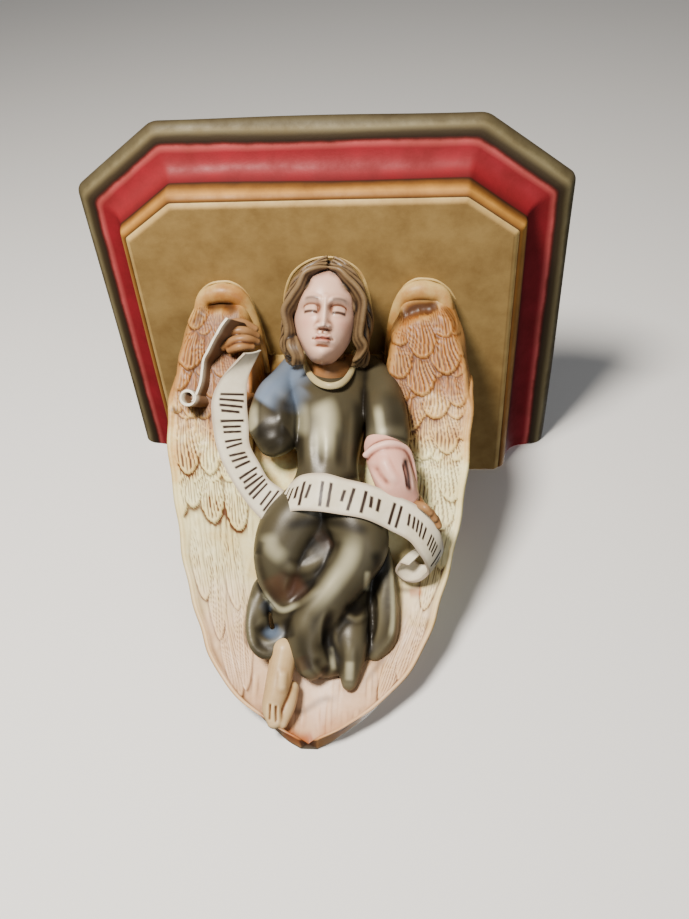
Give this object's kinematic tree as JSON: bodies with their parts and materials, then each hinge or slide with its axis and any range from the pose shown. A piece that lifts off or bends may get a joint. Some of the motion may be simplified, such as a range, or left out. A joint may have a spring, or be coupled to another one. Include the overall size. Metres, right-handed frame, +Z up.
{
  "type": "figural wall corbel",
  "caption": "Cast plaster wall corbel: a moulded shelf with canted corners, carried by a seated angel holding a scroll between folded wings.",
  "frame": {"origin": "on the flat back, midway across, level with the underside of the shelf", "axes": "+X to the viewer's right along the wall, +Y into the wall, +Z up"},
  "size_m": [0.26, 0.209, 0.229],
  "materials": {
    "painted_plaster": "hand-painted gypsum plaster with a worn satin varnish: olive and bronze-gold shelf, red cove, cream and ochre wings, dark bronze-green gown"
  },
  "bodies": {
    "root": {"angel_corbel": "painted_plaster"}
  },
  "joints": []
}
